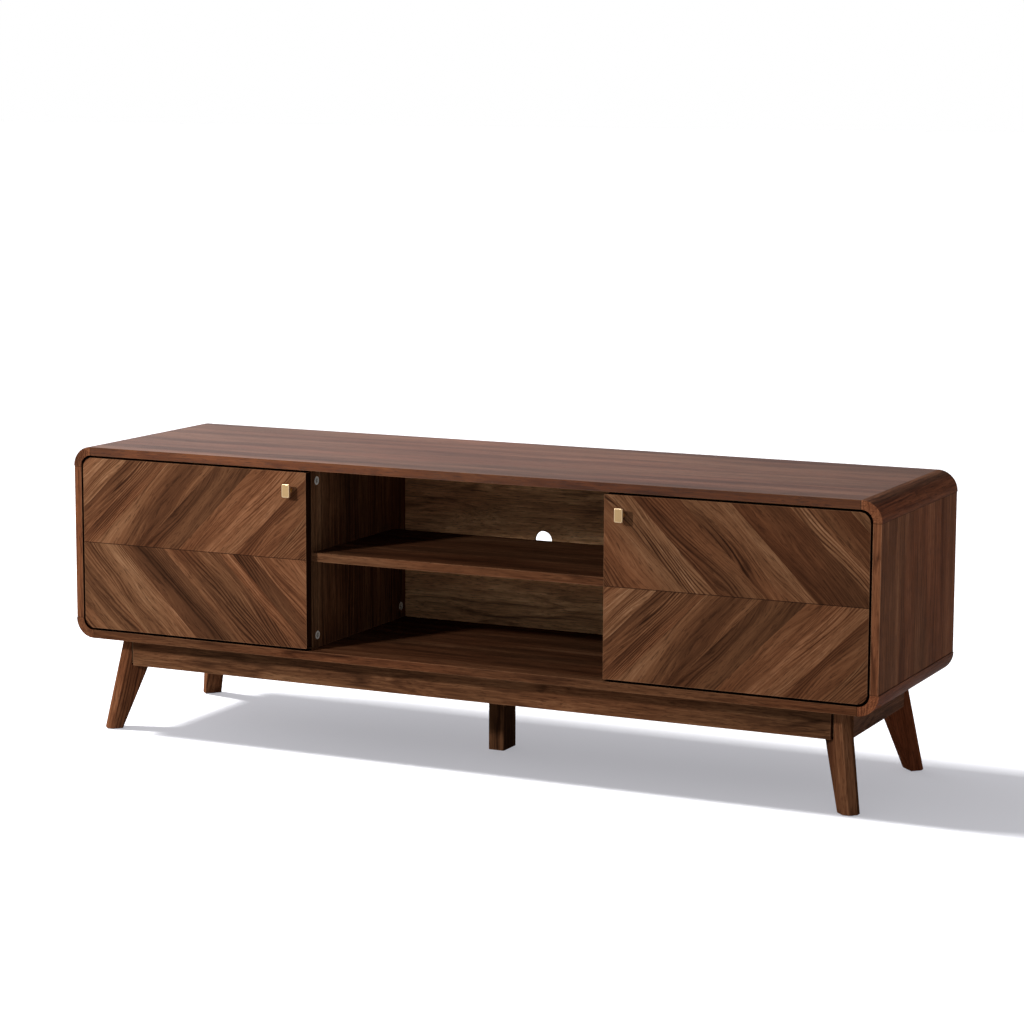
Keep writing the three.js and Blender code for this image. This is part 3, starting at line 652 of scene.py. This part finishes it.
for index, (hand, side) in enumerate(SIDES):
    seed = 10 + 7 * index
    outward, inward = (side, 0, 0), (-side, 0, 0)
    # painted light and shade on the front edges, the outer faces, the corners' flanks and the dividers'
    # inner faces
    stile_light = (FRONTWARD, STILE_PAINTED_LIGHT[hand])
    board(f"side_panel_{hand}", Z_AXIS, seed, red=0.2, figure=0.8, streaks=0.8, shine=0.005,
          faces=(stile_light, (outward, SIDE_PAINTED_LIGHT[hand])), shaded_reveal=inward, joints=Z_AXIS)
    for level, up, step in (("top", 1, 1), ("bottom", -1, 2)):
        board(f"corner_{level}_{hand}", Y_AXIS, seed + step, figure=0.5, red=0.2, wear=0.0, shine=0.012,
              faces=(stile_light, (outward, FLANK_PAINTED_LIGHT[hand])), shaded_reveal=(-side, 0, -up))
    board(f"divider_{hand}", Z_AXIS, seed + 3, tone=0.03, figure=0.5, red=-0.3, streaks=1.3,
          faces=((inward, 1.5),))
    board(f"shelf_{hand}", X_AXIS, seed + 4, tone=-0.04)
    board(f"side_rail_{hand}", Y_AXIS, seed + 5, tone=0.17, red=0.2, shine=0.005)
    dress(f"door_{hand}", chevron(hand))
    for place, front in (("front", -1), ("rear", 1)):
        # The right rear leg is painted lighter and redder: painted light for the back light on it.
        painted_backlight = hand == "right" and place == "rear"
        board(f"leg_{place}_{hand}", (LEG_LEAN * side, LEG_LEAN * front, -1), seed + 31 + front,
              tone=0.20 if painted_backlight else 0.0, red=1.0 if painted_backlight else 0.1, figure=0.7, wear=0.0)
        block = f"corner_block_{place}_{hand}"
        dress(block, beech(block, (side, -front, 0), seed + 41 + front))

nickel = metal("nickel_plate", NICKEL, NICKEL_SHADE, rough=0.20, brush=900, wear=0.4, direction=Z_AXIS)
pad = plastic("dark_glide", GLIDE_DARK, GLIDE_SCUFF, 0.5)

for name in NODES:
    if name.startswith(("knob_screw", "hinge")):
        dress(name, nickel)
    elif name.startswith("knob"):
        dress(name, knob_metal(name))
    elif name.startswith("cam"):
        dress(name, cam_metal(name))
    elif name.startswith("glide"):
        dress(name, pad)


def soften(node):
    """A small round on a CAD node's hard edges."""
    modifier = NODES[node].modifiers.new("soft_edges", "BEVEL")
    modifier.width = SOFT_EDGE
    modifier.segments = 2
    modifier.limit_method = "ANGLE"
    modifier.angle_limit = SOFT_EDGE_ANGLE
    modifier.harden_normals = False


for name in ("shelf_centre", "shelf_left", "shelf_right", "front_rail", "back_rail", "side_rail_left",
             "side_rail_right", "cross_rail", "door_left", "door_right"):
    soften(name)

# ---------------------------------------------------------------------------
# Small fittings: screws, shelf pins and door bumpers
# ---------------------------------------------------------------------------

# Turned pieces are (radius, height) pairs in millimetres.
PIN_PROFILE = (
    (0.0, 0.0), (4.5, 0.0), (4.5, 1.4), (4.0, 2.0),
    (2.6, 2.0), (2.6, 9.3), (2.0, 10.0), (0.0, 10.0),
)
BUMPER_PROFILE = ((0.0, 0.0), (4.0, 0.0), (4.0, 0.7), (3.5, 1.2), (2.0, 1.45), (0.0, 1.5))
TURNED_SEGMENTS = 32

# A screw head's outline and its cross recess, as shares of the head's radius and height.
SCREW_PROFILE = ((0.94, 0.0), (1.0, 0.12), (0.98, 0.45), (0.86, 0.78), (0.68, 0.95))
SCREW_TURNS = 4
RECESS_HALF_WIDTH, RECESS_HALF_LENGTH = 0.13, 0.55
RECESS_TAPER, RECESS_STEP, RECESS_FLOOR = 0.82, 0.35, 0.25

# Each pair of screws is spread about its hinge part's middle.
PLATE_SCREW = {"radius": 0.0037, "height": 0.0017}
PLATE_SCREW_SPREAD = 0.017
CUP_SCREW = {"radius": 0.0032, "height": 0.0015}
CUP_SCREW_SPREAD = 0.0218
BUMPER_FROM_END = 0.012
BUMPER_FROM_BAY = 0.0075
PIN_FROM_SHELF_END = 0.040
PIN_BELOW_SHELF = 0.0047

bolt = metal("screw_zinc", BOLT_ZINC, BOLT_SHADE, rough=0.28, brush=1200, wear=0.5)
pin_metal = metal("pin_nickel", PIN_NICKEL, PIN_SHADE, rough=0.25, brush=1200, wear=0.4)
bumper = plastic("clear_bumper", BUMPER_CLEAR, BUMPER_SCUFF, 0.35)


def new_piece(name, bm, material, body, place, direction):
    """Makes a piece from a bmesh built round +Z, turned to a direction and put in its place."""
    bmesh.ops.recalc_face_normals(bm, faces=bm.faces)
    turn = Vector(direction).to_track_quat("Z", "Y").to_matrix().to_4x4()
    bmesh.ops.transform(bm, matrix=Matrix.Translation(place) @ turn, verts=bm.verts)
    mesh = bpy.data.meshes.new(name)
    bm.to_mesh(mesh)
    bm.free()
    mesh.materials.append(material)
    piece = bpy.data.objects.new(name, mesh)
    bpy.context.scene.collection.objects.link(piece)
    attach(piece, body)


def bridge(bm, rings):
    """Faces between each ring of vertices and the next. A ring of one vertex closes an end."""
    for a, b in zip(rings, rings[1:]):
        count = max(len(a), len(b))
        for i in range(count):
            corners = [a[i % len(a)], a[(i + 1) % len(a)], b[(i + 1) % len(b)], b[i % len(b)]]
            bm.faces.new(list(dict.fromkeys(corners)))


def turned(profile):
    """A round bmesh from a profile in millimetres."""
    bm = bmesh.new()
    rings = []
    for radius, height in profile:
        count = TURNED_SEGMENTS if radius else 1
        angles = [2 * math.pi * i / TURNED_SEGMENTS for i in range(count)]
        points = [(radius * math.cos(t) / 1000, radius * math.sin(t) / 1000, height / 1000) for t in angles]
        rings.append([bm.verts.new(point) for point in points])
    bridge(bm, rings)
    return bm


def screw_head(radius, height):
    """A pan head with a cross recess."""
    bm = bmesh.new()
    corner = math.atan2(RECESS_HALF_WIDTH, RECESS_HALF_LENGTH)
    between = 0.5 * (corner + math.pi / 4)
    steps = (-corner, 0.0, corner, between, math.pi / 4, math.pi / 2 - between)
    angles = [turn * math.pi / 2 + step for turn in range(SCREW_TURNS) for step in steps]

    def recess(angle):
        local = (angle + math.pi / 4) % (math.pi / 2) - math.pi / 4
        if abs(local) <= corner + 1e-6:
            return RECESS_HALF_LENGTH / math.cos(local)
        return RECESS_HALF_WIDTH / abs(math.sin(local))

    def ring(reach, level):
        spokes = [(radius * reach(t), t) for t in angles]
        return [bm.verts.new((r * math.cos(t), r * math.sin(t), height * level)) for r, t in spokes]

    rings = [[bm.verts.new((0, 0, 0))]]
    for share, level in SCREW_PROFILE:
        rings.append(ring(lambda t: share, level))
    rings.append(ring(recess, 1.0))
    rings.append(ring(lambda t: RECESS_TAPER * recess(t), RECESS_STEP))
    rings.append([bm.verts.new((0, 0, RECESS_FLOOR * height))])
    bridge(bm, rings)
    return bm


def screw_pair(name, sizes, body, place, spread, direction):
    """Two screws, one above and one below a place."""
    for end, up in (("a", 1), ("b", -1)):
        head = Vector((place[0], place[1], place[2] + up * spread))
        new_piece(f"{name}_{end}", screw_head(**sizes), bolt, body, head, direction)


for hand, side in SIDES:
    leaf = f"door_{hand}_leaf"
    inner = 0 if side > 0 else 1
    outer = 1 - inner
    door_low, door_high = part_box(f"door_{hand}")
    for level in ("lower", "upper"):
        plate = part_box(f"hinge_plate_{hand}_{level}")
        centre = (plate[0] + plate[1]) / 2
        screw_pair(f"plate_screw_{hand}_{level}", PLATE_SCREW, "stand",
                   (plate[inner].x, centre.y, centre.z), PLATE_SCREW_SPREAD, (-side, 0, 0))
        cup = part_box(f"hinge_cup_{hand}_{level}")
        centre = (cup[0] + cup[1]) / 2
        screw_pair(f"cup_screw_{hand}_{level}", CUP_SCREW, leaf,
                   (centre.x, cup[1].y, centre.z), CUP_SCREW_SPREAD, Y_AXIS)
        z = door_low.z + BUMPER_FROM_END if level == "lower" else door_high.z - BUMPER_FROM_END
        place = Vector((side * (BAY_HALF + BUMPER_FROM_BAY), door_high.y, z))
        new_piece(f"bumper_{hand}_{level}", turned(BUMPER_PROFILE), bumper,
                  leaf, place, Y_AXIS)

    shelf_low, shelf_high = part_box(f"shelf_{hand}")
    divider_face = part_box(f"divider_{hand}")[outer].x
    side_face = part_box(f"side_panel_{hand}")[inner].x
    for wall, x, way in (("inner", divider_face, side), ("outer", side_face, -side)):
        for end, y in (("front", shelf_low.y + PIN_FROM_SHELF_END),
                       ("rear", shelf_high.y - PIN_FROM_SHELF_END)):
            place = Vector((x, y, shelf_low.z - PIN_BELOW_SHELF))
            new_piece(f"shelf_pin_{hand}_{wall}_{end}", turned(PIN_PROFILE), pin_metal,
                      "stand", place, (way, 0, 0))

# ---------------------------------------------------------------------------
# Floor and light
# ---------------------------------------------------------------------------

# The floor as the camera sees it, as the stand is lit by it, and a painted glow that lightens the stand's
# shadow on it, stronger to the left.
FLOOR_HALF_SIZE = 60
FLOOR_SEEN = (0.63, 0.63, 0.65)
FLOOR_BOUNCE = (0.28, 0.28, 0.28)
FLOOR_GLOW = (0.94, 0.935, 1.0, 1)
FLOOR_PAINTED_GLOW, FLOOR_PAINTED_GLOW_LEFT = 0.365, 0.46
FLOOR_PAINTED_GLOW_SPAN = (-0.1, -1.0)

SUN_STRENGTH = 3.9
SUN_ANGLE = math.radians(9)
SUN_DIRECTION = (0.61, 0.05, -0.79)

# The studio's soft light by direction: even all round, and lobes of (direction, strength, power).
WORLD_TINT = (0.97, 0.98, 1.0, 1)
WORLD_EVEN = 0.20
WORLD_LOBES = (
    ((-1, 0, 0), 0.30, 1),
    ((0, -1, 0), 0.22, 1),
    ((-0.93, 0.37, 0), 2.2, 8),
)


def make_floor():
    """The floor and the collection that holds it."""
    mesh = bpy.data.meshes.new("floor")
    s = FLOOR_HALF_SIZE
    mesh.from_pydata([(-s, -s, 0), (s, -s, 0), (s, s, 0), (-s, s, 0)], [], [(0, 1, 2, 3)])
    floor = bpy.data.objects.new("floor", mesh)
    stage = bpy.data.collections.new("stage")
    bpy.context.scene.collection.children.link(stage)
    stage.objects.link(floor)
    g = Material("pale_floor")
    seen = g.new("LightPath").outputs["Is Camera Ray"]
    # painted light: the floor's glow, stronger towards the left, lightens the stand's shadow
    glow_left = g.band(g.separate(g.place)[0], *FLOOR_PAINTED_GLOW_SPAN)
    lift = g.lerp(glow_left, FLOOR_PAINTED_GLOW, FLOOR_PAINTED_GLOW_LEFT)
    g.set(Base_Color=g.mix(seen, FLOOR_BOUNCE, FLOOR_SEEN), Roughness=0.9, Specular_IOR_Level=0.0)
    g.set(Emission_Color=FLOOR_GLOW, Emission_Strength=g.multiply(seen, lift))
    mesh.materials.append(g.material)
    return floor, stage


def aim(light, direction):
    light.rotation_mode = "QUATERNION"
    light.rotation_quaternion = Vector(direction).to_track_quat("-Z", "Y")
    bpy.context.scene.collection.objects.link(light)


def area_light(name, place, target, size, watts, skips=None):
    """A round soft light. skips is an object that it doesn't light."""
    data = bpy.data.lights.new(name, "AREA")
    data.shape = "DISK"
    data.size = size
    data.energy = watts
    light = bpy.data.objects.new(name, data)
    light.location = place
    aim(light, Vector(target) - Vector(place))
    if skips:
        unlit = bpy.data.collections.new(f"not_lit_by_{name}")
        unlit.objects.link(skips)
        unlit.collection_objects[0].light_linking.link_state = "EXCLUDE"
        light.light_linking.receiver_collection = unlit


def floor_sun(stage):
    """Whitens the floor round the stand's shadow, and lights nothing else."""
    data = bpy.data.lights.new("floor_sun", "SUN")
    data.energy = SUN_STRENGTH
    data.angle = SUN_ANGLE
    sun = bpy.data.objects.new("floor_sun", data)
    aim(sun, SUN_DIRECTION)
    sun.light_linking.receiver_collection = stage


def make_world():
    """White where it is seen, and the studio's soft light for everything else."""
    world = bpy.data.worlds.new("studio")
    bpy.context.scene.world = world
    world.use_nodes = True
    g = Nodes(world.node_tree)
    direction = g.new("TexCoord").outputs["Generated"]
    total = WORLD_EVEN
    for towards, strength, power in WORLD_LOBES:
        lobe = g.math("MAXIMUM", g.dot(direction, towards), 0.0)
        total = g.multiply_add(g.math("POWER", lobe, power), strength, total)
    glow = g.new("Background")
    glow.inputs["Color"].default_value = WORLD_TINT
    g.feed(glow.inputs["Strength"], total)
    backdrop = g.new("Background")
    backdrop.inputs["Color"].default_value = (1, 1, 1, 1)
    mix = g.new("MixShader")
    g.feed(mix.inputs[0], g.new("LightPath").outputs["Is Camera Ray"])
    g.feed(mix.inputs[1], glow.outputs[0])
    g.feed(mix.inputs[2], backdrop.outputs[0])
    g.feed(g.new("OutputWorld").inputs[0], mix.outputs[0])


make_world()
floor, stage = make_floor()
floor_sun(stage)
area_light("key", place=(-2.9, -0.25, 3.3), target=(0, 0, 0.4), size=0.55, watts=190)
area_light("front_left", place=(-1.4, -2.23, 1.42), target=(-0.2, 0, 0.35), size=0.22, watts=57,
           skips=floor)

bpy.context.scene.view_settings.view_transform = "Standard"
bpy.context.scene.view_settings.look = "None"
